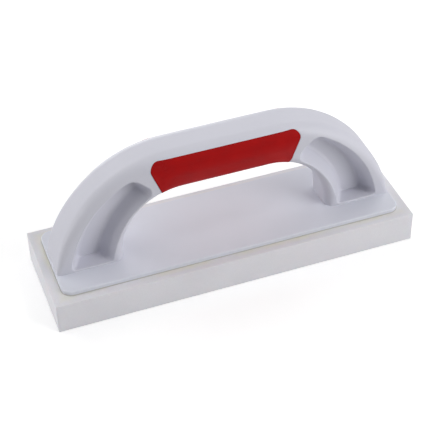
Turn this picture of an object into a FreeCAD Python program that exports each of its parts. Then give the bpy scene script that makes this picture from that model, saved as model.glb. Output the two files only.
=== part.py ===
import FreeCAD, Part
import math
import os

import Sketcher

# Sponge hand float: a moulded arch handle with a soft grip, screwed to a thin plate
# that is glued to a thick foam sole.
#
# Frame: millimetres, X along the float, Y across it, +Z up. The origin is the middle
# of the sole's underside. Each sub-part is drawn in a frame of its own that starts at
# its seat, and its Placement puts it on the piece below.

VECTOR = FreeCAD.Vector
UP = VECTOR(0, 0, 1)
QUARTER = math.pi / 2
NEAR = 1e-3

SIZES = [
    # foam sole
    ("sole_length", 280, "length of the foam sole"),
    ("sole_width", 86, "width of the foam sole"),
    ("sole_thickness", 25, "thickness of the foam sole"),
    # contact adhesive
    ("glue_thickness", 0.4, "thickness of the adhesive film"),
    ("glue_margin", 0.5, "how far the film is squeezed out past the plate"),
    # backing plate
    ("plate_end_margin", 8, "foam that shows past each end of the plate"),
    ("plate_side_margin", 7.5, "foam that shows along each side of the plate"),
    ("plate_thickness", 3, "thickness of the backing plate"),
    ("plate_corner", 8, "corner radius of the plate, seen from above"),
    ("plate_edge", 0.8, "radius along the plate's top edge"),
    # arch handle, measured up from the plate and out from its middle
    ("handle_width", 32.5, "width of the handle across the float"),
    ("handle_height", 84, "top of the handle above the plate"),
    ("foot_setback", 0.8, "from the plate's end to the handle's foot"),
    ("foot_length", 51.4, "length of each foot along the plate"),
    ("shoulder_reach", 91.2, "from the foot's outer end back to the straight stretch on top"),
    ("shoulder_radius", 86, "radius of the shoulder, in side view"),
    ("shoulder_turn", 40, "degrees that the shoulder arc turns through"),
    ("crown_depth", 31.5, "depth of the handle over the hand opening"),
    ("arch_radius", 47, "radius of the opening's upper corners"),
    ("outer_round", 9, "edge radius along the back of the handle"),
    ("foot_round", 3, "the same radius where it has run down to the foot"),
    ("inner_round", 7.5, "edge radius along the hand opening"),
    # cored pockets in the legs, one on each face of each leg
    ("web_thickness", 5, "web left between the front and back pockets"),
    ("rim_foot", 10.5, "outer flange of the leg, at the foot"),
    ("rim_shoulder", 8, "outer flange of the leg, at the end of the shoulder arc"),
    ("rim_end", 7, "outer flange of the leg, at the pocket's upper end"),
    ("rim_end_turn", 22, "degrees from upright to the pocket's upper outer corner"),
    ("flange_foot", 8.9, "inner flange of the leg, at the foot"),
    ("flange_middle", 3.8, "inner flange of the leg, half-way round the opening's corner"),
    ("flange_middle_turn", 45, "degrees from upright to that half-way place"),
    ("flange_end", 4.8, "inner flange of the leg, at the pocket's upper end"),
    ("flange_end_turn", 21, "degrees from upright to the pocket's upper inner corner"),
    ("pocket_draft", 28, "slope of the pocket's outer and upper walls, degrees"),
    ("inner_lean", 1.1, "how much more the pocket's inner wall leans than the outer one"),
    ("pocket_floor", 1.4, "floor of the pocket above the plate"),
    ("mouth_end_corner", 8.5, "radius of the pocket's upper corners at its mouth"),
    ("web_end_corner", 1.2, "radius of the pocket's upper corners at the web"),
    ("foot_corner", 3, "radius of the pocket's corners at the foot"),
    ("pocket_root", 3, "radius where the pocket's walls meet the web"),
    ("pocket_lip", 0.8, "radius along the mouth of the pocket"),
    # soft grip
    ("grip_drop", 3.2, "upper edge of the soft grip below the handle's top"),
    ("grip_reach", 19.9, "how far the grip's upper edge runs past the straight stretch"),
    ("grip_wrap", 10, "how far its outline goes down round the opening's corners"),
    ("grip_slope", 21, "degrees by which the grip's ends lean in towards the bottom"),
    ("grip_corner", 6.8, "corner radius of the grip's outline"),
    ("grip_thickness", 2.5, "thickness of the soft skin"),
    ("grip_proud", 0.3, "how far the soft skin stands above the handle"),
    ("grip_gap", 0.25, "groove between the soft skin and the edge of its recess"),
    ("grip_edge", 0.5, "radius along the edge of the soft skin, above the soffit"),
    # fixing screws, driven up through the plate into the feet
    ("screw_shank", 3.8, "diameter of the screw's shank"),
    ("screw_head", 7.6, "diameter of the countersunk head"),
    ("countersink_angle", 90, "angle of the head's cone, degrees"),
    ("screw_length", 16, "length of the screw with its head"),
    ("screw_point", 3, "length of the screw's point"),
    ("screw_clearance", 0.2, "clearance on the diameter of the holes in the plate"),
    ("pilot_clearance", 0.5, "depth left free above the point of a screw"),
    ("screw_inset_outer", 7, "from the outer end of the foot to the outer screw"),
    ("screw_inset_inner", 5.5, "from the inner end of the foot to the inner screw"),
]

DERIVED = [
    # the plate and the handle follow the sole
    ("plate_length", "sole_length - 2 * plate_end_margin"),
    ("plate_width", "sole_width - 2 * plate_side_margin"),
    ("foot_end", "plate_length / 2 - foot_setback"),
    ("arch_half", "foot_end - foot_length"),
    ("arch_clearance", "handle_height - crown_depth"),
    ("shoulder_flat", "foot_end - shoulder_reach"),
    # heights at which the pieces sit
    ("plate_seat", "sole_thickness + glue_thickness"),
    ("handle_seat", "plate_seat + plate_thickness"),
    # adhesive film
    ("glue_length", "plate_length + 2 * glue_margin"),
    ("glue_width", "plate_width + 2 * glue_margin"),
    ("glue_corner", "plate_corner + glue_margin"),
    # screws and their holes
    ("screw_outer_place", "foot_end - screw_inset_outer"),
    ("screw_inner_place", "arch_half + screw_inset_inner"),
    ("plate_hole", "screw_shank + screw_clearance"),
    ("plate_countersink", "screw_head + screw_clearance"),
    ("screw_head_radius", "screw_head / 2"),
    ("screw_shank_radius", "screw_shank / 2"),
    ("screw_cone", "(screw_head_radius - screw_shank_radius) / tan(countersink_angle / 2)"),
    ("screw_straight", "screw_length - screw_point"),
    ("pilot_depth", "screw_length - plate_thickness + pilot_clearance"),
    # centres of the shoulder arc and of the opening's corner arc
    ("shoulder_z", "handle_height - shoulder_radius"),
    ("corner_x", "arch_half - arch_radius"),
    ("corner_z", "arch_clearance - arch_radius"),
    # how far the pocket's walls draw in between its mouth and the web
    ("pocket_mouth", "handle_width / 2"),
    ("pocket_web", "web_thickness / 2"),
    ("root_turn", "90 - pocket_draft"),
    ("web_inset", "(pocket_mouth - pocket_web) * tan(pocket_draft)"
                  " + pocket_root * tan(root_turn / 2)"),
    ("root_inset", "web_inset - pocket_root * sin(root_turn)"),
    ("root_level", "pocket_web + pocket_root * (1 - cos(root_turn))"),
    # outline of the soft grip
    ("grip_top", "handle_height - grip_drop"),
    ("grip_half", "shoulder_flat + grip_reach"),
    ("grip_foot_half", "grip_half - (grip_top - arch_clearance) * tan(grip_slope)"),
    ("grip_rise", "90 - grip_slope"),
    ("grip_low", "arch_clearance - grip_wrap"),
    ("prism_depth", "2 * handle_width"),
]

# The handle's plain form is needed three times: as it stands, grown to the surface of
# the soft grip, and shrunk to the core that the grip wraps round.
FORMS = {"blank": "0", "skin": "-grip_proud", "core": "grip_thickness"}
for form, inset in FORMS.items():
    DERIVED += [
        (f"{form}_width", f"handle_width - 2 * ({inset})"),
        (f"{form}_top", f"handle_height - ({inset})"),
        (f"{form}_shoulder", f"shoulder_radius - ({inset})"),
        (f"{form}_foot", f"foot_end - ({inset})"),
        (f"{form}_half", f"arch_half + ({inset})"),
        (f"{form}_soffit", f"arch_clearance + ({inset})"),
        (f"{form}_corner", f"arch_radius + ({inset})"),
        (f"{form}_outer_round", f"outer_round - ({inset})"),
        (f"{form}_foot_round", f"foot_round - ({inset})"),
        (f"{form}_inner_round", f"inner_round - ({inset})"),
    ]

# The grip's outline is needed twice: for the recess, and for the skin, which leaves a
# groove all round.
OUTLINES = {"recess": "0", "grip": "grip_gap"}
for outline, inset in OUTLINES.items():
    DERIVED += [
        (f"{outline}_edge_top", f"grip_top - {inset}"),
        (f"{outline}_knee_x", f"grip_foot_half - {inset}"),
        (f"{outline}_knee_z", f"arch_clearance + {inset} * tan(grip_slope / 2)"),
        (f"{outline}_edge_corner", f"grip_corner - {inset}"),
    ]

# The pocket's outline is drawn at four levels between its mouth in the handle's face
# and the web: two for the straight wall, and two more round the root radius. Each has
# its distance from the middle plane and how far it is drawn in from the mouth.
LEVELS = {
    "mouth": ("pocket_mouth", "0"),
    "root": ("root_level", "root_inset"),
    "bend": ("pocket_web + pocket_root * (1 - cos(root_turn / 2))",
             "web_inset - pocket_root * sin(root_turn / 2)"),
    "web": ("pocket_web", "web_inset"),
}
for level, (distance, drawn_in) in LEVELS.items():
    out = f"{level}_drawn_in"
    inn = f"inner_lean * {out}"
    rim = f"(shoulder_radius - rim_end - {out})"
    knee = f"(shoulder_radius - rim_shoulder - {out})"
    flange = f"(arch_radius + flange_end + {inn})"
    middle = f"(arch_radius + flange_middle + {inn})"
    rim_turn = f"(rim_end_turn + {out} / {rim} * 180 / pi)"
    flange_turn = f"(flange_end_turn + {out} / {flange} * 180 / pi)"
    DERIVED += [
        (f"{level}_plane", f"-({distance})"),
        (f"{level}_drawn_in", drawn_in),
        (f"{level}_foot_out_x", f"foot_end - rim_foot - {out}"),
        (f"{level}_foot_in_x", f"arch_half + flange_foot + {inn}"),
        (f"{level}_knee_x", f"shoulder_flat + {knee} * sin(shoulder_turn)"),
        (f"{level}_knee_z", f"shoulder_z + {knee} * cos(shoulder_turn)"),
        (f"{level}_end_out_x", f"shoulder_flat + {rim} * sin({rim_turn})"),
        (f"{level}_end_out_z", f"shoulder_z + {rim} * cos({rim_turn})"),
        (f"{level}_end_in_x", f"corner_x + {flange} * sin({flange_turn})"),
        (f"{level}_end_in_z", f"corner_z + {flange} * cos({flange_turn})"),
        (f"{level}_middle_x", f"corner_x + {middle} * sin(flange_middle_turn)"),
        (f"{level}_middle_z", f"corner_z + {middle} * cos(flange_middle_turn)"),
        (f"{level}_corner", f"mouth_end_corner"
                            f" - (mouth_end_corner - web_end_corner) * {out} / web_inset"),
    ]

doc = FreeCAD.newDocument("hand_float")
sheet = doc.addObject("Spreadsheet::Sheet", "Sizes")
row = 0
for alias, value, note in SIZES:
    row += 1
    sheet.set(f"A{row}", note)
    sheet.set(f"B{row}", str(value))
    sheet.setAlias(f"B{row}", alias)
for alias, formula in DERIVED:
    row += 1
    sheet.set(f"B{row}", "=" + formula)
    sheet.setAlias(f"B{row}", alias)
doc.recompute()


def size(alias):
    """The value that the sheet holds under this alias."""
    return float(sheet.get(alias))


def origin_plane(body, role):
    """One of a body's own origin planes, such as XY_Plane."""
    return next(item for item in body.Origin.OriginFeatures if item.Role == role)


def new_sketch(body, name, role, offset=None):
    """A sketch on a body's origin plane, moved along the plane's normal if asked."""
    sketch = body.newObject("Sketcher::SketchObject", name)
    sketch.AttachmentSupport = [(origin_plane(body, role), "")]
    sketch.MapMode = "FlatFace"
    if offset:
        sketch.setExpression("AttachmentOffset.Base.z", f"Sizes.{offset}")
    return sketch


def rule(sketch, *words):
    """Add a constraint that has no size."""
    sketch.addConstraint(Sketcher.Constraint(*words))


def bind(sketch, alias, kind, *where):
    """Add a dimension to a sketch and bind it to the sheet."""
    value = size(alias)
    text = f"Sizes.{alias}"
    if kind == "Angle":
        value = math.radians(value)
        text += " * 1 deg"
    index = sketch.addConstraint(Sketcher.Constraint(kind, *where, value))
    sketch.setExpression(f"Constraints[{index}]", text)


def place_point(sketch, geometry, end, x_alias, z_alias):
    """Fix one point of a sketch to the right of and above its origin."""
    bind(sketch, x_alias, "DistanceX", -1, 1, geometry, end)
    bind(sketch, z_alias, "DistanceY", -1, 1, geometry, end)


def line_between(sketch, first, last):
    """A straight line in a sketch, between two pairs of coordinates."""
    return sketch.addGeometry(Part.LineSegment(VECTOR(*first, 0), VECTOR(*last, 0)))


def arc_about(sketch, centre, radius, start, end):
    """An arc in a sketch, anticlockwise between two angles in radians."""
    circle = Part.Circle(VECTOR(*centre, 0), UP, radius)
    return sketch.addGeometry(Part.ArcOfCircle(circle, start, end))


def marker(sketch, place):
    """A construction point in a sketch."""
    return sketch.addGeometry(Part.Point(VECTOR(*place, 0)), True)


def corner_arc(sketch, corner, before, after, radius):
    """An arc that rounds off a corner between the points before and after it.

    Returns the arc and the two points where it starts and ends.
    """
    sharp = VECTOR(*corner, 0)
    back = (VECTOR(*before, 0) - sharp).normalize()
    ahead = (VECTOR(*after, 0) - sharp).normalize()
    half_turn = back.getAngle(ahead) / 2
    setback = radius / math.tan(half_turn)
    start = sharp + back * setback
    end = sharp + ahead * setback
    outwards = (back + ahead).normalize() * -1
    middle = sharp - outwards * (radius / math.sin(half_turn) - radius)
    arc = sketch.addGeometry(Part.Arc(start, middle, end))
    return arc, (start.x, start.y), (end.x, end.y)


def arc_through(sketch, first, middle, last):
    """An arc in a sketch, through three pairs of coordinates."""
    return sketch.addGeometry(
        Part.Arc(VECTOR(*first, 0), VECTOR(*middle, 0), VECTOR(*last, 0)))


def edges_where(shape, test):
    """Numbers of the edges of a shape whose middle point passes a test."""
    numbers = []
    for number, edge in enumerate(shape.Edges, start=1):
        middle = edge.valueAt((edge.FirstParameter + edge.LastParameter) / 2)
        if test(middle):
            numbers.append(number)
    return numbers


def touches(point, faces):
    """Whether a point lies on some faces."""
    return Part.Vertex(point).distToShape(faces)[0] < NEAR


def add_round(body, name, before, edges, radius):
    """Round some edges of a body's last feature."""
    rounding = body.newObject("PartDesign::Fillet", name)
    rounding.Base = (before, [f"Edge{number}" for number in edges])
    rounding.setExpression("Radius", f"Sizes.{radius}")
    doc.recompute()
    return rounding


def add_arch_round(name, base, edges, radius, foot_radius):
    """Round the edges along an arch, and let the radius run out towards its feet.

    The edges on each face of the arch make one chain, which takes its direction from the
    first of them, and a varying radius is given in that direction.
    """
    rounding = doc.addObject("Part::Fillet", name)
    rounding.Base = base
    chains = {}
    radii = []
    for number in edges:
        edge = base.Shape.Edges[number - 1]
        ends = [edge.valueAt(edge.FirstParameter), edge.valueAt(edge.LastParameter)]
        front = ends[0].y < 0
        rightwards = chains.setdefault(front, ends[0].x < ends[1].x)
        ends.sort(key=lambda end: end.x if rightwards else -end.x)
        radii.append((number, *[foot_radius if end.z < NEAR else radius for end in ends]))
    rounding.Edges = radii
    doc.recompute()
    return rounding


def padded_half(body, name, sketch, depth):
    """Pad half of a side view about the middle plane and add its mirror image."""
    pad = body.newObject("PartDesign::Pad", f"{name}_half")
    pad.Profile = sketch
    pad.SideType = "Symmetric"
    pad.setExpression("Length", f"Sizes.{depth}")
    doc.recompute()
    whole = body.newObject("PartDesign::Mirrored", f"{name}_whole")
    whole.Originals = [pad]
    whole.MirrorPlane = (origin_plane(body, "YZ_Plane"), [""])
    body.Tip = whole
    doc.recompute()
    return whole


# ---------------------------------------------------------------- flat pieces

def rounded_rectangle(sketch, length, width, corner=None):
    """A rectangle about the origin, with sharp corners unless a radius is named."""
    half_x = size(length) / 2
    half_y = size(width) / 2
    radius = size(corner) if corner else 0
    turns = [(1, -1), (1, 1), (-1, 1), (-1, -1)]
    lines = []
    for place in range(4):
        start_x, start_y = turns[place]
        end_x, end_y = turns[(place + 1) % 4]
        along_x = (end_x - start_x) / 2 * radius
        along_y = (end_y - start_y) / 2 * radius
        first = (start_x * half_x + along_x, start_y * half_y + along_y)
        last = (end_x * half_x - along_x, end_y * half_y - along_y)
        lines.append(line_between(sketch, first, last))
    first_arc = None
    for place, line in enumerate(lines):
        rule(sketch, "Horizontal" if place % 2 else "Vertical", line)
        after = lines[(place + 1) % 4]
        if not corner:
            rule(sketch, "Coincident", line, 2, after, 1)
            continue
        side_x, side_y = turns[(place + 1) % 4]
        centre = (side_x * (half_x - radius), side_y * (half_y - radius))
        arc = arc_about(sketch, centre, radius, place * QUARTER, (place + 1) * QUARTER)
        rule(sketch, "Tangent", line, 2, arc, 1)
        rule(sketch, "Tangent", arc, 2, after, 1)
        if first_arc is None:
            first_arc = arc
            bind(sketch, corner, "Radius", arc)
        else:
            rule(sketch, "Equal", first_arc, arc)
    right, top, left, bottom = lines
    rule(sketch, "Symmetric", right, 1, left, 1, -1, 1)
    bind(sketch, length, "DistanceX", left, 1, right, 1)
    bind(sketch, width, "DistanceY", bottom, 1, top, 1)


def slab(name, length, width, corner, thickness, seat=None):
    """A flat piece: a rectangle padded upwards from its seat."""
    body = doc.addObject("PartDesign::Body", name)
    sketch = new_sketch(body, name + "_outline", "XY_Plane")
    rounded_rectangle(sketch, length, width, corner)
    pad = body.newObject("PartDesign::Pad", name + "_pad")
    pad.Profile = sketch
    pad.setExpression("Length", f"Sizes.{thickness}")
    if seat:
        body.setExpression("Placement.Base.z", f"Sizes.{seat}")
    doc.recompute()
    return body


# A plain block of foam rubber with cut, sharp edges.
sole_pad = slab("sole_pad", "sole_length", "sole_width", None, "sole_thickness")

# The film of contact adhesive, squeezed out a little all round the plate.
adhesive_film = slab("adhesive_film", "glue_length", "glue_width", "glue_corner",
                     "glue_thickness", "sole_thickness")

backing_plate = slab("backing_plate", "plate_length", "plate_width", "plate_corner",
                     "plate_thickness", "plate_seat")

SCREW_PLACES = {
    "left_outer": (-1, "screw_outer_place"),
    "left_inner": (-1, "screw_inner_place"),
    "right_inner": (1, "screw_inner_place"),
    "right_outer": (1, "screw_outer_place"),
}


def screw_circles(sketch, diameter):
    """Four equal circles on the middle line of the float, one for each screw."""
    first = None
    for side, place in SCREW_PLACES.values():
        centre = VECTOR(side * size(place), 0, 0)
        circle = sketch.addGeometry(Part.Circle(centre, UP, size(diameter) / 2))
        rule(sketch, "PointOnObject", circle, 3, -1)
        ends = (-1, 1, circle, 3) if side > 0 else (circle, 3, -1, 1)
        bind(sketch, place, "DistanceX", *ends)
        if first is None:
            first = circle
            bind(sketch, diameter, "Diameter", circle)
        else:
            rule(sketch, "Equal", first, circle)


# The plate's screw holes are countersunk from below, so that the heads lie flush.
solid_plate = backing_plate.Shape.Volume
hole_places = new_sketch(backing_plate, "plate_screw_places", "XY_Plane")
screw_circles(hole_places, "plate_hole")
doc.recompute()
plate_holes = backing_plate.newObject("PartDesign::Hole", "plate_screw_holes")
plate_holes.Profile = hole_places
plate_holes.Reversed = True
plate_holes.DepthType = "ThroughAll"
plate_holes.HoleCutType = "Countersink"
plate_holes.setExpression("HoleCutCountersinkAngle", "Sizes.countersink_angle * 1 deg")
plate_holes.setExpression("Diameter", "Sizes.plate_hole")
plate_holes.setExpression("HoleCutDiameter", "Sizes.plate_countersink")
doc.recompute()
assert plate_holes.Shape.Volume < solid_plate

# The plate's top edge is slightly rounded all the way round.
plate_rim = edges_where(
    plate_holes.Shape,
    lambda at: at.z > size("plate_thickness") - NEAR
    and (abs(at.x) > size("foot_end") or abs(at.y) > size("pocket_mouth")))
add_round(backing_plate, "plate_edge_round", plate_holes, plate_rim, "plate_edge")

# ---------------------------------------------------------------- arch handle


def arch_form(form):
    """The handle's plain form without pockets, at one of the three insets.

    The back is a straight top, a shoulder arc and a leg arc, each tangent to the next.
    The hand opening is a straight soffit, a corner arc and an upright.
    """
    body = doc.addObject("PartDesign::Body", f"{form}_form")
    sketch = new_sketch(body, f"{form}_side_view", "XZ_Plane")
    top = size(f"{form}_top")
    shoulder = size(f"{form}_shoulder")
    foot = size(f"{form}_foot")
    half = size(f"{form}_half")
    soffit = size(f"{form}_soffit")
    corner = size(f"{form}_corner")
    flat = size("shoulder_flat")
    turn = math.radians(size("shoulder_turn"))

    # The leg arc leaves the shoulder arc at the knee and must end at the foot.
    knee_x = flat + shoulder * math.sin(turn)
    knee_z = top - shoulder + shoulder * math.cos(turn)
    reach = (foot - knee_x) * math.sin(turn) - knee_z * math.cos(turn)
    leg = -((foot - knee_x) ** 2 + knee_z ** 2) / (2 * reach)
    leg_centre = (knee_x - leg * math.sin(turn), knee_z - leg * math.cos(turn))
    leg_start = math.atan2(-leg_centre[1], foot - leg_centre[0])
    rise = soffit - corner

    top_line = line_between(sketch, (0, top), (flat, top))
    shoulder_arc = arc_about(sketch, (flat, top - shoulder), shoulder, QUARTER - turn, QUARTER)
    leg_arc = arc_about(sketch, leg_centre, leg, leg_start, QUARTER - turn)
    foot_line = line_between(sketch, (foot, 0), (half, 0))
    upright = line_between(sketch, (half, 0), (half, rise))
    opening_arc = arc_about(sketch, (half - corner, rise), corner, 0, QUARTER)
    soffit_line = line_between(sketch, (half - corner, soffit), (0, soffit))
    middle_line = line_between(sketch, (0, soffit), (0, top))

    rule(sketch, "Tangent", top_line, 2, shoulder_arc, 2)
    rule(sketch, "Tangent", shoulder_arc, 1, leg_arc, 2)
    rule(sketch, "Coincident", leg_arc, 1, foot_line, 1)
    rule(sketch, "Coincident", foot_line, 2, upright, 1)
    rule(sketch, "Tangent", upright, 2, opening_arc, 1)
    rule(sketch, "Tangent", opening_arc, 2, soffit_line, 1)
    rule(sketch, "Coincident", soffit_line, 2, middle_line, 1)
    rule(sketch, "Coincident", middle_line, 2, top_line, 1)
    for level_line in (top_line, foot_line, soffit_line):
        rule(sketch, "Horizontal", level_line)
    for upright_line in (upright, middle_line):
        rule(sketch, "Vertical", upright_line)
    rule(sketch, "PointOnObject", top_line, 1, -2)
    rule(sketch, "PointOnObject", foot_line, 1, -1)
    bind(sketch, f"{form}_top", "DistanceY", -1, 1, top_line, 1)
    bind(sketch, "shoulder_flat", "DistanceX", top_line, 1, top_line, 2)
    bind(sketch, f"{form}_shoulder", "Radius", shoulder_arc)
    bind(sketch, "shoulder_turn", "Angle", shoulder_arc)
    bind(sketch, f"{form}_foot", "DistanceX", -1, 1, foot_line, 1)
    bind(sketch, f"{form}_half", "DistanceX", -1, 1, upright, 1)
    bind(sketch, f"{form}_soffit", "DistanceY", -1, 1, soffit_line, 1)
    bind(sketch, f"{form}_corner", "Radius", opening_arc)
    doc.recompute()
    whole = padded_half(body, form, sketch, f"{form}_width")

    side = size(f"{form}_width") / 2

    def on_face(at):
        return abs(at.y) > side - NEAR and at.z > NEAR

    def in_opening(at, margin):
        return abs(at.x) < half + margin and at.z < soffit + margin

    opening_edges = edges_where(whole.Shape, lambda at: on_face(at) and in_opening(at, NEAR))
    opening = add_round(body, f"{form}_opening_round", whole, opening_edges,
                        f"{form}_inner_round")
    rounded = size(f"{form}_inner_round") + NEAR
    back_edges = edges_where(opening.Shape,
                             lambda at: on_face(at) and not in_opening(at, rounded))
    return add_arch_round(f"{form}_rounded", body, back_edges,
                          size(f"{form}_outer_round"), size(f"{form}_foot_round"))


blank_form = arch_form("blank")
skin_form = arch_form("skin")
core_form = arch_form("core")


def pocket_outline(body, level):
    """The outline of a leg pocket at one level: two arcs, each through three points,
    joined by a straight upper end and a level floor, with all four corners rounded."""
    sketch = new_sketch(body, f"pocket_{level}", "XZ_Plane", f"{level}_plane")
    places = {"foot_out": ("foot_out_x", None), "foot_in": ("foot_in_x", None),
              "knee": ("knee_x", "knee_z"), "middle": ("middle_x", "middle_z"),
              "end_out": ("end_out_x", "end_out_z"), "end_in": ("end_in_x", "end_in_z")}
    at = {}
    points = {}
    for name, (x_name, z_name) in places.items():
        x_alias = f"{level}_{x_name}"
        z_alias = f"{level}_{z_name}" if z_name else "pocket_floor"
        at[name] = (size(x_alias), size(z_alias))
        points[name] = marker(sketch, at[name])
        place_point(sketch, points[name], 1, x_alias, z_alias)

    end_radius = f"{level}_corner"
    turns = [("foot_in", "foot_out", "knee", "foot_corner"),
             ("knee", "end_out", "end_in", end_radius),
             ("end_out", "end_in", "middle", end_radius),
             ("middle", "foot_in", "foot_out", "foot_corner")]
    corners = []
    for before, corner, after, radius in turns:
        corners.append(corner_arc(sketch, at[corner], at[before], at[after], size(radius)))
        bind(sketch, radius, "Radius", corners[-1][0])
    (foot_out_arc, floor_end, rim_start), (end_out_arc, rim_end, end_start), (
        end_in_arc, end_end, flange_end), (foot_in_arc, flange_start, floor_start) = corners

    floor_line = line_between(sketch, floor_start, floor_end)
    rim_arc = arc_through(sketch, rim_start, at["knee"], rim_end)
    end_line = line_between(sketch, end_start, end_end)
    flange_arc = arc_through(sketch, flange_start, at["middle"], flange_end)
    rule(sketch, "Tangent", floor_line, 2, foot_out_arc, 1)
    rule(sketch, "Tangent", foot_out_arc, 2, rim_arc, 1)
    rule(sketch, "Tangent", rim_arc, 2, end_out_arc, 1)
    rule(sketch, "Tangent", end_out_arc, 2, end_line, 1)
    rule(sketch, "Tangent", end_line, 2, end_in_arc, 1)
    rule(sketch, "Tangent", end_in_arc, 2, flange_arc, 2)
    rule(sketch, "Tangent", flange_arc, 1, foot_in_arc, 1)
    rule(sketch, "Tangent", foot_in_arc, 2, floor_line, 1)
    for curve, names in ((floor_line, ("foot_in", "foot_out")),
                         (rim_arc, ("foot_out", "knee", "end_out")),
                         (end_line, ("end_out", "end_in")),
                         (flange_arc, ("end_in", "middle", "foot_in"))):
        for name in names:
            rule(sketch, "PointOnObject", points[name], 1, curve)
    doc.recompute()
    return sketch


# One leg pocket: a scoop that draws in from its mouth in the handle's face to the web.
pocket_form = doc.addObject("PartDesign::Body", "pocket_form")
outlines = [pocket_outline(pocket_form, level) for level in LEVELS]
pocket_walls = pocket_form.newObject("PartDesign::AdditiveLoft", "pocket_walls")
pocket_walls.Profile = outlines[0]
pocket_walls.Sections = outlines[1:2]
doc.recompute()
scoop = pocket_form.newObject("PartDesign::AdditiveLoft", "pocket_bottom")
scoop.Profile = outlines[1]
scoop.Sections = outlines[2:]
doc.recompute()


def mirror_image(name, source, normal):
    """The mirror image of an object about one of the handle's middle planes."""
    image = doc.addObject("Part::Mirroring", name)
    image.Source = source
    image.Normal = normal
    return image


pocket_left = mirror_image("pocket_left", pocket_form, VECTOR(1, 0, 0))
pocket_front = mirror_image("pocket_front", pocket_form, VECTOR(0, 1, 0))
pocket_front_left = mirror_image("pocket_front_left", pocket_left, VECTOR(0, 1, 0))


def grip_prism(outline):
    """A block with the soft grip's outline, right through the handle."""
    body = doc.addObject("PartDesign::Body", f"{outline}_prism")
    sketch = new_sketch(body, f"{outline}_outline", "XZ_Plane")
    top = size(f"{outline}_edge_top")
    radius = size(f"{outline}_edge_corner")
    knee = (size(f"{outline}_knee_x"), size(f"{outline}_knee_z"))
    low = size("grip_low")
    rise = math.radians(size("grip_rise"))

    # The leaning end would meet the upper edge here if the corner were not rounded.
    sharp = (knee[0] + (top - knee[1]) / math.tan(rise), top)
    round_arc, touch, level = corner_arc(sketch, sharp, knee, (0, top), radius)
    top_line = line_between(sketch, (0, top), level)
    leaning_line = line_between(sketch, knee, touch)
    upright = line_between(sketch, knee, (knee[0], low))
    bottom_line = line_between(sketch, (knee[0], low), (0, low))
    middle_line = line_between(sketch, (0, low), (0, top))
    rule(sketch, "Tangent", top_line, 2, round_arc, 2)
    rule(sketch, "Tangent", round_arc, 1, leaning_line, 2)
    rule(sketch, "Coincident", leaning_line, 1, upright, 1)
    rule(sketch, "Coincident", upright, 2, bottom_line, 1)
    rule(sketch, "Coincident", bottom_line, 2, middle_line, 1)
    rule(sketch, "Coincident", middle_line, 2, top_line, 1)
    for level_line in (top_line, bottom_line):
        rule(sketch, "Horizontal", level_line)
    for upright_line in (upright, middle_line):
        rule(sketch, "Vertical", upright_line)
    rule(sketch, "PointOnObject", top_line, 1, -2)
    bind(sketch, f"{outline}_edge_top", "DistanceY", -1, 1, top_line, 1)
    bind(sketch, "grip_low", "DistanceY", -1, 1, bottom_line, 1)
    bind(sketch, f"{outline}_edge_corner", "Radius", round_arc)
    bind(sketch, "grip_rise", "Angle", leaning_line)
    place_point(sketch, upright, 1, f"{outline}_knee_x", f"{outline}_knee_z")
    doc.recompute()
    padded_half(body, outline, sketch, "prism_depth")
    return body


recess_prism = grip_prism("recess")
grip_outline_prism = grip_prism("grip")


def boolean(kind, name, first, second):
    """A Part cut or common of two objects."""
    result = doc.addObject(f"Part::{kind}", name)
    result.Base = first
    result.Tool = second
    doc.recompute()
    return result


# The recess runs all round the handle except for its back, down to the core.
recess_form = boolean("Cut", "recess_form", recess_prism, core_form)
hollows = doc.addObject("Part::MultiFuse", "handle_hollows")
hollows.Shapes = [pocket_form, pocket_left, pocket_front, pocket_front_left, recess_form]
doc.recompute()
handle_cut = boolean("Cut", "handle_cut", blank_form, hollows)


def finished_body(name, base):
    """A body that starts from a boolean result and sits on the plate."""
    body = doc.addObject("PartDesign::Body", name)
    body.BaseFeature = base
    body.setExpression("Placement.Base.z", "Sizes.handle_seat")
    doc.recompute()
    return body, body.Group[0]


handle_body, handle_start = finished_body("handle_body", handle_cut)

# The mouths of the pockets are slightly rounded all the way round.
handle_skin = Part.Compound(blank_form.Shape.Faces)
pockets = (pocket_form, pocket_left, pocket_front, pocket_front_left)
pocket_skin = Part.Compound([face for pocket in pockets for face in pocket.Shape.Faces])
lip_edges = edges_where(
    handle_start.Shape, lambda at: touches(at, handle_skin) and touches(at, pocket_skin))
handle_lips = add_round(handle_body, "pocket_lips", handle_start, lip_edges, "pocket_lip")

# Blind pilot holes in the feet, which the screws cut their threads in.
pilot_places = new_sketch(handle_body, "pilot_places", "XY_Plane")
screw_circles(pilot_places, "screw_shank")
doc.recompute()
pilots = handle_body.newObject("PartDesign::Pocket", "pilot_holes")
pilots.Profile = pilot_places
pilots.Reversed = True
pilots.setExpression("Length", "Sizes.pilot_depth")
doc.recompute()
assert pilots.Shape.Volume < handle_lips.Shape.Volume

# ---------------------------------------------------------------- soft grip

# One piece of soft skin wraps the front, the soffit and the back of the handle.
grip_form = boolean("Common", "grip_form", skin_form, grip_outline_prism)
grip_skin = boolean("Cut", "grip_skin", grip_form, core_form)
soft_grip, grip_start = finished_body("soft_grip", grip_skin)
outer_skin = Part.Compound(skin_form.Shape.Faces)
prism_skin = Part.Compound(grip_outline_prism.Shape.Faces)
grip_edges = edges_where(
    grip_start.Shape, lambda at: at.z > size("arch_clearance")
    and touches(at, outer_skin) and touches(at, prism_skin))
add_round(soft_grip, "grip_edge_round", grip_start, grip_edges, "grip_edge")

# ---------------------------------------------------------------- fixing screws


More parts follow.
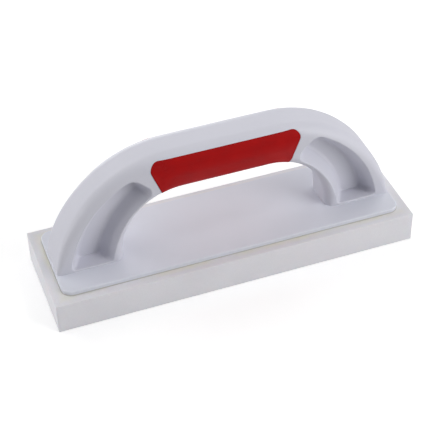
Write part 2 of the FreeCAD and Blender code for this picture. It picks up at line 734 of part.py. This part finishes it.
def fixing_screw(name, side, place):
    """A countersunk screw, turned about its own axis, with its head at the bottom."""
    body = doc.addObject("PartDesign::Body", name)
    sketch = new_sketch(body, name + "_profile", "XZ_Plane")
    head = size("screw_head_radius")
    shank = size("screw_shank_radius")
    neck = size("screw_cone")
    straight = size("screw_straight")
    length = size("screw_length")
    corners = [(0, 0), (head, 0), (shank, neck), (shank, straight), (0, length)]
    lines = []
    for first, last in zip(corners, corners[1:] + corners[:1]):
        lines.append(line_between(sketch, first, last))
    for line, after in zip(lines, lines[1:] + lines[:1]):
        rule(sketch, "Coincident", line, 2, after, 1)
    face_line, cone_line, shank_line, point_line, axis_line = lines
    rule(sketch, "Horizontal", face_line)
    rule(sketch, "Vertical", shank_line)
    rule(sketch, "Vertical", axis_line)
    rule(sketch, "Coincident", face_line, 1, -1, 1)
    bind(sketch, "screw_head_radius", "DistanceX", face_line, 1, face_line, 2)
    place_point(sketch, shank_line, 1, "screw_shank_radius", "screw_cone")
    bind(sketch, "screw_straight", "DistanceY", -1, 1, shank_line, 2)
    bind(sketch, "screw_length", "DistanceY", -1, 1, axis_line, 1)
    doc.recompute()
    turned = body.newObject("PartDesign::Revolution", name + "_turned")
    turned.Profile = sketch
    turned.ReferenceAxis = (sketch, ["V_Axis"])
    turned.Angle = 360
    body.setExpression("Placement.Base.x", f"{side} * Sizes.{place}")
    body.setExpression("Placement.Base.z", "Sizes.plate_seat")
    doc.recompute()
    return body


screws = [fixing_screw(f"fixing_screw_{name}", side, place)
          for name, (side, place) in SCREW_PLACES.items()]

# ---------------------------------------------------------------- hand-over

for item in doc.Objects:
    assert not {"Invalid", "Error"} & set(item.State), item.Name

os.makedirs("parts", exist_ok=True)
for piece in [sole_pad, adhesive_film, backing_plate, handle_body, soft_grip] + screws:
    shape = piece.Shape
    assert not shape.isNull() and shape.isValid() and len(shape.Solids) == 1, piece.Label
    shape.exportStep(f"parts/{piece.Label}.step")
    print(piece.Label, round(shape.Volume), shape.BoundBox)
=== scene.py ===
# %% [markdown]
# # A sponge hand float, dressed for its portrait
#
# The solids of the float come from a CAD model: a thick foam sole, a thin plastic plate
# glued on it, an arched handle screwed to the plate, and a red soft grip let into the
# handle. Here each of them gets a finish. The two soft pieces, foam and grip, look too
# flat and sharp as CAD makes them, so their shapes are worked over in Blender.

# %% Load the frame
import math

import bpy
from mathutils import Matrix, Vector
from mathutils.kdtree import KDTree


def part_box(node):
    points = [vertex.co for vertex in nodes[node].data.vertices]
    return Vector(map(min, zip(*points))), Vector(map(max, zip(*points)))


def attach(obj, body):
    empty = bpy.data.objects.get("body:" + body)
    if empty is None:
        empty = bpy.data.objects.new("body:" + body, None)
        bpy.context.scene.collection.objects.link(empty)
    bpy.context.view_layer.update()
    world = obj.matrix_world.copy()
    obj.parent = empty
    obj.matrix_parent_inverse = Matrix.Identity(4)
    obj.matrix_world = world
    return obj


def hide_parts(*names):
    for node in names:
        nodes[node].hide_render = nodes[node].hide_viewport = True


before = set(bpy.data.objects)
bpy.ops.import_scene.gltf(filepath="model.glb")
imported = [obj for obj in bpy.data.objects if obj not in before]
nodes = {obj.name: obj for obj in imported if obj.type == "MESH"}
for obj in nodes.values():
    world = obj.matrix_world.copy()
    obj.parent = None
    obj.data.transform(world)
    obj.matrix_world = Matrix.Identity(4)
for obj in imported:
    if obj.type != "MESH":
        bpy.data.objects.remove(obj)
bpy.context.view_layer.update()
print("CAD nodes:", sorted(nodes))

# %% [markdown]
# ## Directions
#
# Camera and lamps stand round the float, and it is easiest to say where as on a globe:
# how far round from the front, and how high. Both are turned into a direction here, in
# the float's own frame: X along it, Y across it towards the back, Z up.

# %% A direction from two angles


def direction(turn, height):
    """Where something stands: degrees round from the front, and degrees up."""
    turn, height = math.radians(turn), math.radians(height)
    return Vector((math.sin(turn) * math.cos(height),
                   -math.cos(turn) * math.cos(height),
                   math.sin(height)))


print("from the left end:", [round(part, 3) for part in direction(-90, 0)])

# %% [markdown]
# ## The camera
#
# The view is from the left front and well above, with a long lens, so the handle's arch
# and its hollowed legs both read clearly. A camera can be turned with angles, but here
# its three axes are worked out and written into its matrix, which leaves no doubt about
# the small roll.

# %% Place the camera
MM = 0.001
DISTANCE = 1.0344  # metres
LENS, SENSOR = 107.522, 36  # the camera's own millimetres
aim = Vector((10.42, 31.34, 0.0)) * MM
backward = direction(-19.353, 40.651)
roll = math.radians(-1.336)

level = (-backward).cross(Vector((0, 0, 1))).normalized()
upright = level.cross(-backward)
across = level * math.cos(roll) + upright * math.sin(roll)
above = upright * math.cos(roll) - level * math.sin(roll)

bpy.ops.object.select_all(action="DESELECT")
bpy.ops.object.camera_add()
camera = bpy.context.object
camera.name = "portrait_camera"
camera.matrix_world = Matrix.Translation(aim + backward * DISTANCE) @ Matrix(
    (across, above, backward)).transposed().to_4x4()
camera.data.sensor_width = SENSOR
camera.data.lens = LENS
camera.data.clip_start = 0.05
camera.data.clip_end = 50
bpy.context.scene.camera = camera
print("camera at", [round(part, 3) for part in camera.location])

# %% [markdown]
# ## Writing shaders as sums
#
# A finish is a small web of nodes. Wiring each one by hand hides what it does, so a
# `Wire` stands for one output of a node and understands +, - and *. Each sum adds the
# Math nodes that it needs, so `1 - mask` can be written as it is read.

# %% A node's output that can be used in sums


class Wire:
    """One output of a shader node, which can be used in a sum."""

    def __init__(self, finish, node, output):
        self.finish = finish
        self.node = node
        self.output = output

    def maths(self, operation, first, second=0.0):
        """Add a Math node with two values, and give its output."""
        return self.finish.add("ShaderNodeMath", {"operation": operation},
                               {0: first, 1: second})

    def __add__(self, other):
        return self.maths("ADD", self, other)

    def __radd__(self, other):
        return self.maths("ADD", other, self)

    def __sub__(self, other):
        return self.maths("SUBTRACT", self, other)

    def __rsub__(self, other):
        return self.maths("SUBTRACT", other, self)

    def __mul__(self, other):
        return self.maths("MULTIPLY", self, other)

    def __rmul__(self, other):
        return self.maths("MULTIPLY", other, self)

    def __abs__(self):
        return self.maths("ABSOLUTE", self)

    def larger(self, other):
        """The larger of two values."""
        return self.maths("MAXIMUM", self, other)


print("a wire understands:", ", ".join(word.strip("_") for word in vars(Wire)
                                       if callable(getattr(Wire, word))))

# %% [markdown]
# ## A finish
#
# A `Finish` is a material with one method that adds any node, sets it up and plugs it
# in. The few nodes that the float's finishes share have a short name of their own:
# noise for blotches and grain, pits for foam, a ramp to pick out a range, a blend of
# two colours, and a bump. A world is made of nodes too, so it is built the same way.

# %% A material built node by node


class Finish:
    """A material, or the light of the world, that is built up node by node."""

    def __init__(self, name, library=bpy.data.materials):
        self.made = library.new(name)
        self.made.use_nodes = True
        self.tree = self.made.node_tree
        self.tree.nodes.clear()

    def add(self, kind, settings=None, sockets=None, output=0):
        """Add a node: its settings first, then its sockets' values or links."""
        node = self.tree.nodes.new(kind)
        for name, value in (settings or {}).items():
            setattr(node, name, value)
        for name, value in (sockets or {}).items():
            if isinstance(value, Wire):
                self.tree.links.new(value.node.outputs[value.output], node.inputs[name])
            else:
                node.inputs[name].default_value = value
        return Wire(self, node, output)

    def place(self, scale=(1, 1, 1)):
        """The position on the piece in metres, stretched if asked."""
        position = self.add("ShaderNodeTexCoord", output="Object")
        if scale == (1, 1, 1):
            return position
        return self.add("ShaderNodeMapping", sockets={
            "Vector": position, "Scale": scale})

    def along(self, axis):
        """How far a point of the piece lies along X, Y or Z, in metres."""
        return self.add("ShaderNodeSeparateXYZ", sockets={
            "Vector": self.place()}, output=axis)

    def noise(self, per_metre, detail=2.0, roughness=0.5, where=None):
        """Soft random blotches, that many to the metre, from 0 to 1."""
        return self.add("ShaderNodeTexNoise", sockets={
            "Vector": where or self.place(), "Scale": per_metre,
            "Detail": detail, "Roughness": roughness})

    def pits(self, per_metre):
        """Round hollows, that many to the metre: 0 in the middle, 1 between them."""
        depth = self.add("ShaderNodeTexVoronoi", sockets={
            "Vector": self.place(), "Scale": per_metre}, output="Distance")
        return self.ramp(depth, 0.15, 0.7)

    def ramp(self, value, start, end):
        """0 where a value is at start, 1 where it is at end, and clamped outside."""
        return self.add("ShaderNodeMapRange", {"clamp": True}, {
            "Value": value, "From Min": start, "From Max": end})

    def blend(self, amount, first, second):
        """A colour between two colours."""
        return self.add("ShaderNodeMix", {"data_type": "RGBA"}, {
            0: amount, 6: first, 7: second}, output=2)

    def bump(self, height, millimetres):
        """Surface relief from a height between 0 and 1."""
        return self.add("ShaderNodeBump", sockets={
            "Height": height, "Distance": millimetres * MM, "Strength": 1.0})

    def surface(self, **sockets):
        """End in a Principled shader. Socket names are written with underscores."""
        return self.end(self.add("ShaderNodeBsdfPrincipled", sockets={
            name.replace("_", " "): value for name, value in sockets.items()}))

    def end(self, shader, kind="ShaderNodeOutputMaterial"):
        """Plug the last shader into the output, and hand over what was made."""
        self.add(kind, sockets={"Surface": shader})
        return self.made


print("a finish can:", ", ".join(word for word in vars(Finish) if word[0] != "_"))

# %% [markdown]
# ## Colours, and wearing a finish
#
# Colours are easiest to judge as the 0 to 255 numbers of a picture, but light adds up
# only in linear numbers, so each colour is converted once. The solids from CAD have
# material slots already, and a finish is put into them without touching the mesh.

# %% Colours and slots


def colour(red, green, blue):
    """An sRGB colour, 0 to 255, as the linear numbers that shaders use."""
    shares = [value / 255 for value in (red, green, blue)]
    linear = [share / 12.92 if share <= 0.04045 else ((share + 0.055) / 1.055) ** 2.4
              for share in shares]
    return (*linear, 1.0)


def wear(material, *names):
    """Give a CAD node a finish in all its material slots."""
    for name in names:
        for slot in nodes[name].material_slots:
            slot.material = material
    print(material.name, "->", ", ".join(names))


print("middle grey in linear light:", round(colour(128, 128, 128)[0], 3))

# %% [markdown]
# ## Moulded plastic
#
# Handle and plate are injection-moulded in pale grey. The mould is spark-eroded, which
# leaves a very fine even grain, and the surface is satin: it glows softly along the
# edges and has no sharp reflections. The grain could be an image wrapped round the
# piece, but noise in the piece's own space has no seams, so it is a bump of fine noise.
# A slower noise varies colour and roughness a little, as handling and storage do, and
# a few stretched, sparse flecks stand for the scuffs of the shelf.

# %% Moulded plastic finishes


def moulded_plastic(name, base):
    """Satin grey plastic with a fine spark-eroded grain."""
    finish = Finish(name)
    lengthwise = finish.place(scale=(0.25, 1, 1))
    cloud = finish.ramp(finish.noise(14, detail=3), 0.35, 0.7)
    smudge = finish.ramp(finish.noise(45, detail=4, roughness=0.6), 0.45, 0.75)
    scuff = finish.ramp(finish.noise(110, detail=5, roughness=0.7, where=lengthwise),
                        0.66, 0.74)
    grain = finish.noise(2600, detail=3, roughness=0.6)
    darker = tuple(share * 0.94 for share in base[:3]) + (1.0,)
    return finish.surface(
        Base_Color=finish.blend(cloud * 0.4 + smudge * 0.2 + scuff * 0.3, base, darker),
        Roughness=grain * 0.1 + smudge * 0.08 + scuff * 0.1 + 0.42,
        Normal=finish.bump(grain, 0.012))


handle_plastic = moulded_plastic("satin_handle_grey", colour(209, 209, 219))
# The plate is the same grey plastic as the handle, but its grey is written lighter:
# painted light, which makes up for the shade the plate gets beside and under the
# handle.
plate_grey_painted_lighter = moulded_plastic("satin_grey_painted_lighter", colour(220, 222, 232))
wear(handle_plastic, "handle_body")
wear(plate_grey_painted_lighter, "backing_plate")

# %% [markdown]
# ## Zinc-plated screws
#
# The screws are out of sight under the plate, but they are real pieces and get a real
# finish: turned steel with fine rings round the axis and a bluish zinc plating. Noise
# that is squeezed along the axis makes such rings on any screw, wherever it stands.

# %% Screw finish
finish = Finish("zinc_plated_steel")
round_axis = finish.place(scale=(1, 1, 9))
rings = finish.noise(700, detail=2, where=round_axis)
zinc = finish.blend(rings, colour(176, 178, 182), colour(205, 207, 212))
screw_steel = finish.surface(
    Base_Color=zinc, Metallic=1.0, Roughness=rings * 0.2 + 0.25,
    Normal=finish.bump(rings, 0.02))
wear(screw_steel, *[name for name in nodes if name.startswith("fixing_screw")])

# %% [markdown]
# ## Glue
#
# The plate is stuck to the foam with contact adhesive. It dries to a dull, faintly
# amber film, and a thin uneven line of it shows all round, in the shadow under the
# plate's edge. It could be modelled again as a lumpy bead, but so little of it shows
# that the solid from CAD keeps its form. Only runs of colour and a relief are added.

# %% Glue finish
finish = Finish("dried_adhesive")
runs = finish.noise(120, detail=4, roughness=0.6)
amber = finish.blend(finish.ramp(runs, 0.3, 0.7),
                     colour(196, 194, 194), colour(190, 186, 178))
dried_adhesive = finish.surface(
    Base_Color=amber, Roughness=runs * 0.3 + 0.4, Normal=finish.bump(runs, 0.1))
wear(dried_adhesive, "adhesive_film")

# %% [markdown]
# ## One piece at a time
#
# Blender's operators act on everything that is selected, which is how a piece gets
# changed that nobody meant to touch. So each step below first picks out one piece. To
# slice a piece means to bisect it with one plane after another, each a little further
# along. That leaves a grid of the size that is asked for, whatever the piece's shape,
# where subdividing would only halve the faces that happen to be there.

# %% Pick out, edit and slice a piece


def select_only(piece):
    """Select one piece and make it the active one, so operators act on it alone."""
    bpy.ops.object.select_all(action="DESELECT")
    piece.select_set(True)
    bpy.context.view_layer.objects.active = piece


def edit_all_of(piece):
    """Enter edit mode on one piece, with all of it selected."""
    select_only(piece)
    bpy.ops.object.mode_set(mode="EDIT")
    bpy.ops.mesh.select_all(action="SELECT")


def leave_edit():
    """Go back to object mode, which writes the edits into the mesh."""
    bpy.ops.object.mode_set(mode="OBJECT")


def slice_up(piece, axis, low, high, count):
    """Divide a piece into equal slices across one axis."""
    normal = Vector((0, 0, 0))
    normal[axis] = 1
    edit_all_of(piece)
    for number in range(1, count):
        bpy.ops.mesh.select_all(action="SELECT")
        place = normal * (low + (high - low) * number / count)
        bpy.ops.mesh.bisect(plane_co=place, plane_no=normal)
    leave_edit()


print("mode before the first cut:", bpy.context.mode)

# %% [markdown]
# ## The foam sole
#
# The sole is a block cut from a sheet of white closed-cell foam. A knife never leaves
# its faces dead flat or its edges dead sharp. A CAD block can't show that, so the block
# is modelled again here: a cube at the foam's own size, bevelled along its edges and
# sliced finely enough for a slow waviness to be pressed into its faces. It could also
# be sculpted, but a displacement gives the same block each time.

# %% Cut the foam block
FOAM_EDGE = 0.5 * MM
FOAM_SLICES = (112, 34, 10)  # along X, Y and Z
sole_low, sole_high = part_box("sole_pad")
bpy.ops.object.select_all(action="DESELECT")
bpy.ops.mesh.primitive_cube_add(size=1, location=(sole_low + sole_high) / 2)
foam_sole = bpy.context.object
foam_sole.name = "foam_sole"
foam_sole.scale = sole_high - sole_low
bpy.ops.object.transform_apply(location=True, rotation=True, scale=True)
edit_all_of(foam_sole)
bpy.ops.mesh.bevel(offset=FOAM_EDGE, segments=2, affect="EDGES")
leave_edit()
for axis, count in enumerate(FOAM_SLICES):
    slice_up(foam_sole, axis, sole_low[axis], sole_high[axis], count)
print("foam block:", len(foam_sole.data.polygons), "faces")

# %% [markdown]
# ## The foam's waviness
#
# A knife wanders a little in soft foam. A cloud texture with lumps of 30 mm presses
# the faces in by up to 0.15 mm. Its middle level is set to 1, so that it only presses
# and never swells the block past its real size. Once applied, the waves are part of
# the mesh, and edges that turn by little are shaded smooth, so that no slice shows.

# %% Give the foam its cut surface


def apply_and_smooth(piece, modifier, smooth_below):
    """Apply a modifier, and smooth the edges that turn by fewer degrees than asked."""
    select_only(piece)
    bpy.ops.object.modifier_apply(modifier=modifier.name)
    bpy.ops.object.shade_smooth_by_angle(angle=math.radians(smooth_below))


wander = bpy.data.textures.new("knife_waviness", "CLOUDS")
wander.noise_scale = 30 * MM
wander.noise_depth = 2
waviness = foam_sole.modifiers.new("waviness", "DISPLACE")
waviness.texture = wander
waviness.texture_coords = "LOCAL"
waviness.strength = 0.15 * MM
waviness.mid_level = 1.0
apply_and_smooth(foam_sole, waviness, smooth_below=40)
lowest = min(vertex.co.z for vertex in foam_sole.data.vertices)
print("foam block's lowest point:", round(lowest / MM, 3), "mm")

# %% [markdown]
# ## Foam finish
#
# The cells are too small for geometry, so they are pits in a bump: two sizes of Voronoi
# cells, deepest at their middles. There the colour is painted a shade darker too:
# painted shade, standing in for the shade inside the cells. Where the plate was pressed
# down, glue crept out and left faint yellow stains. They are worked out from the
# distance to the plate's edge, so they follow the plate, and a noise breaks them up.

# %% Foam finish
plate_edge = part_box("backing_plate")[1]
finish = Finish("white_foam")
relief = finish.pits(1500) * 0.6 + finish.pits(600) * 0.4
mottle = finish.noise(40, detail=4, roughness=0.5)
clean = finish.blend(finish.ramp(mottle, 0.3, 0.7),
                     colour(230, 229, 234), colour(226, 225, 230))
# painted shade: the middles of the pits are painted darker, standing in for the shade
# inside the cells
pit_painted_shade = finish.blend((1 - relief) * 0.12, clean, colour(196, 195, 201))
past_end = abs(finish.along("X")) - plate_edge.x
past_side = abs(finish.along("Y")) - plate_edge.y
on_top = finish.ramp(finish.along("Z"), sole_high.z - 0.6 * MM, sole_high.z - 0.3 * MM)
crept = finish.ramp(past_end.larger(past_side), 5 * MM, 0.5 * MM) * on_top
stain = crept * finish.ramp(finish.noise(28, detail=3), 0.42, 0.66)
white_foam = finish.surface(
    Base_Color=finish.blend(stain * 0.7, pit_painted_shade, colour(228, 224, 200)),
    Roughness=mottle * 0.1 + 0.8,
    Subsurface_Weight=0.08,
    Subsurface_Scale=2 * MM,
    Normal=finish.bump(relief, 0.05))
foam_sole.data.materials.append(white_foam)
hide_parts("sole_pad")
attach(foam_sole, "root")
print(white_foam.name, "->", foam_sole.name)

# %% [markdown]
# ## The red soft grip
#
# The grip is a soft elastomer moulded into a recess of the handle. It is much duller
# than the plastic, because its skin is rough on a scale too fine to see, so it is given
# a weak reflection rather than only a blurred one. Dust settles in its pores in pale
# patches. Towards its lower edge the red is painted paler and made a little less
# rough: a painted reflection of the pale plate below, which the face catches there. Its
# faces are left bare.

# %% Soft grip finish
grip_low, grip_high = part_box("soft_grip")
finish = Finish("soft_touch_red")
skin = finish.noise(1800, detail=3, roughness=0.65)
patches = finish.noise(60, detail=4)
specks = finish.ramp(finish.noise(900, detail=2), 0.45, 0.7)
grip_red = finish.blend(finish.ramp(patches, 0.3, 0.7),
                        colour(174, 15, 15), colour(158, 13, 16))
lower_edge = finish.ramp(finish.along("Z"), grip_high.z - 8 * MM, grip_low.z + 6 * MM)
# painted reflection: towards the lower edge the red is painted paler, standing in for
# the pale plate that the grip's face reflects there
painted_plate_reflection = lower_edge * finish.ramp(finish.noise(24, detail=3), 0.3, 0.7)
red_with_painted_reflection = finish.blend(painted_plate_reflection * 0.3, grip_red, colour(184, 84, 86))
dust = finish.ramp(patches, 0.5, 0.8) * specks
grip_elastomer = finish.surface(
    Base_Color=finish.blend(dust * 0.06, red_with_painted_reflection, colour(190, 120, 118)),
    Roughness=skin * 0.16 + patches * 0.1 - painted_plate_reflection * 0.08 + 0.46,
    Specular_IOR_Level=0.08,
    Normal=finish.bump(skin, 0.02))
print("finish:", grip_elastomer.name)

# %% [markdown]
# ## The grip's swelling
#
# The soft skin isn't dead flat: both its faces swell a little between their edges, and
# that is what makes it look soft. The solid from CAD is flat there, so a copy of it is
# made, sliced into a grid, and pushed outwards. The copy is loose triangles at first,
# so its doubled points are merged before it is cut. Its old shading is cleared too,
# because it was worked out for the flat shape.

# %% Copy the grip and slice it
GRIP_SLICES = {0: 56, 2: 18}  # 56 along X and 18 up Z
select_only(nodes["soft_grip"])
bpy.ops.object.duplicate()
swollen_grip = bpy.context.object
swollen_grip.name = "swollen_grip"
bpy.ops.mesh.customdata_custom_splitnormals_clear()
edit_all_of(swollen_grip)
bpy.ops.mesh.remove_doubles(threshold=0.001 * MM)
leave_edit()
for axis, count in GRIP_SLICES.items():
    slice_up(swollen_grip, axis, grip_low[axis], grip_high[axis], count)
print("sliced grip:", len(swollen_grip.data.polygons), "faces")

# %% [markdown]
# ## How far to swell
#
# The swelling has to start at the outline, whatever its shape, so each point of the
# flat faces is asked how far it is from the nearest point of the outline. A tree of
# those points answers that quickly. The share of the height then rises along a smooth
# step, which starts and ends level and so leaves no crease. A vertex group holds the
# shares. They could be painted by hand, but then no two sides would be alike.

# %% Weigh the faces of the grip
FULL_AFTER = 9 * MM  # so far inside the outline, the swelling has its whole height
FLAT_WITHIN = 0.01 * MM
vertices = swollen_grip.data.vertices
flat = {vertex.index for vertex in vertices
        if abs(vertex.co.y) > grip_high.y - FLAT_WITHIN}
outline = [corner for edge in swollen_grip.data.edges for corner in edge.vertices
           if corner in flat and not flat.issuperset(edge.vertices)]
outline_tree = KDTree(len(outline))
for number, corner in enumerate(outline):
    outline_tree.insert(vertices[corner].co, number)
outline_tree.balance()

crown = swollen_grip.vertex_groups.new(name="crown")
for corner in flat:
    inside = outline_tree.find(vertices[corner].co)[2]
    share = min(inside / FULL_AFTER, 1)
    crown.add([corner], share * share * (3 - 2 * share), "REPLACE")
print(len(flat), "points on the flat faces,", len(outline), "along their outline")

# %% [markdown]
# ## Pushing the faces out
#
# A Displace modifier moves each point along its normal, by the share in its vertex
# group. On both flat faces the normals point straight out, so one modifier swells both.
# The middle level is 0, so a share of nothing leaves a point where it was.

# %% Swell both faces of the grip
swell = swollen_grip.modifiers.new("swell", "DISPLACE")
swell.vertex_group = crown.name
swell.mid_level = 0
swell.strength = 1.2 * MM
apply_and_smooth(swollen_grip, swell, smooth_below=35)
swollen_grip.data.materials.clear()
swollen_grip.data.materials.append(grip_elastomer)
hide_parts("soft_grip")
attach(swollen_grip, "root")
half_width = max(vertex.co.y for vertex in vertices)
print("grip's half width:", round(half_width / MM, 2), "mm, before:",
      round(grip_high.y / MM, 2), "mm")

# %% [markdown]
# ## The floor
#
# A large plane is the usual floor, but its far parts would lie beyond the lamps and
# turn grey when seen from low down. So the floor is a white disc that is smaller than
# the ring of lamps. It keeps a soft, faint shadow of the float. To the camera alone it
# also glows a little, which lifts it to white and sends no more light onto the float.

# %% Floor
FLOOR_RADIUS = 1.0
FLOOR_GLOW = 0.35
bpy.ops.object.select_all(action="DESELECT")
bpy.ops.mesh.primitive_circle_add(vertices=96, radius=FLOOR_RADIUS, fill_type="NGON")
floor = bpy.context.object
floor.name = "floor"
finish = Finish("floor_white")
white_board = finish.add("ShaderNodeBsdfPrincipled", sockets={
    "Base Color": colour(240, 240, 240), "Roughness": 0.9, "Specular IOR Level": 0.1})
glow = finish.add("ShaderNodeEmission", sockets={"Strength": FLOOR_GLOW})
glowing_board = finish.add("ShaderNodeAddShader", sockets={0: white_board, 1: glow})
seen = finish.add("ShaderNodeLightPath", output="Is Camera Ray")
floor.data.materials.append(finish.end(finish.add("ShaderNodeMixShader", sockets={
    0: seen, 1: white_board, 2: glowing_board})))
print(floor.name, "is", 2 * FLOOR_RADIUS, "m across")

# %% [markdown]
# ## The background
#
# The float stands before plain white. A bright world would light the float from every
# side and wash out its hollows, so the world is white only for what looks at it: the
# camera, and rays that are mirrored or pass through a piece. To everything else it is
# black, and all the light comes from the lamps.

# %% Background
tent = Finish("light_tent", bpy.data.worlds)
dark, white = [tent.add("ShaderNodeBackground", sockets={
    "Color": colour(255, 255, 255), "Strength": strength}) for strength in (0.0, 1.0)]
seen, mirrored, through = [tent.add("ShaderNodeLightPath", output=f"Is {ray} Ray")
                           for ray in ("Camera", "Glossy", "Transmission")]
looking = seen.larger(mirrored).larger(through)
bpy.context.scene.world = tent.end(tent.add("ShaderNodeMixShader", sockets={
    0: looking, 1: dark, 2: white}), "ShaderNodeOutputWorld")
print("world:", bpy.context.scene.world.name)

# %% [markdown]
# ## The lamps
#
# Soft boxes stand at the left end, at the right front, behind and overhead, and none
# at the front left, where the camera is. That is what draws the hollows in the legs:
# their edges catch the light and their depths fall dark. One large lamp would be
# simpler, but it would leave one end of the float in shade.

# %% Soft boxes round the float
AWAY = 1.75  # metres from the middle of the float to each box
BOX_WIDTH = 0.9  # metres
MIDDLE = Vector((0, 0, 50)) * MM

# each box's degrees round from the front, degrees up, and watts
soft_boxes = {
    "left_end": (-90, 12, 10.4),
    "right_front": (45, 12, 12.4),
    "right_front_high": (45, 45, 8.8),
    "behind": (180, 12, 9.5),
    "behind_left": (-135, 12, 2.8),
    "behind_left_high": (-135, 45, 6.4),
    "behind_right_high": (135, 45, 5.4),
    "overhead": (0, 88, 6.2),
}
for name, (turn, height, watts) in soft_boxes.items():
    outwards = direction(turn, height)
    bpy.ops.object.select_all(action="DESELECT")
    bpy.ops.object.light_add(type="AREA", location=MIDDLE + outwards * AWAY)
    lamp = bpy.context.object
    lamp.name = f"soft_box_{name}"
    lamp.data.energy = watts
    lamp.data.size = BOX_WIDTH
    lamp.rotation_euler = outwards.to_track_quat("Z", "Y").to_euler()
    print(lamp.name, watts, "W")

# %% [markdown]
# ## The view transform
#
# Colours are shown as they are written, so the view transform is Standard.

# %% Set the view transform
bpy.context.scene.view_settings.view_transform = "Standard"
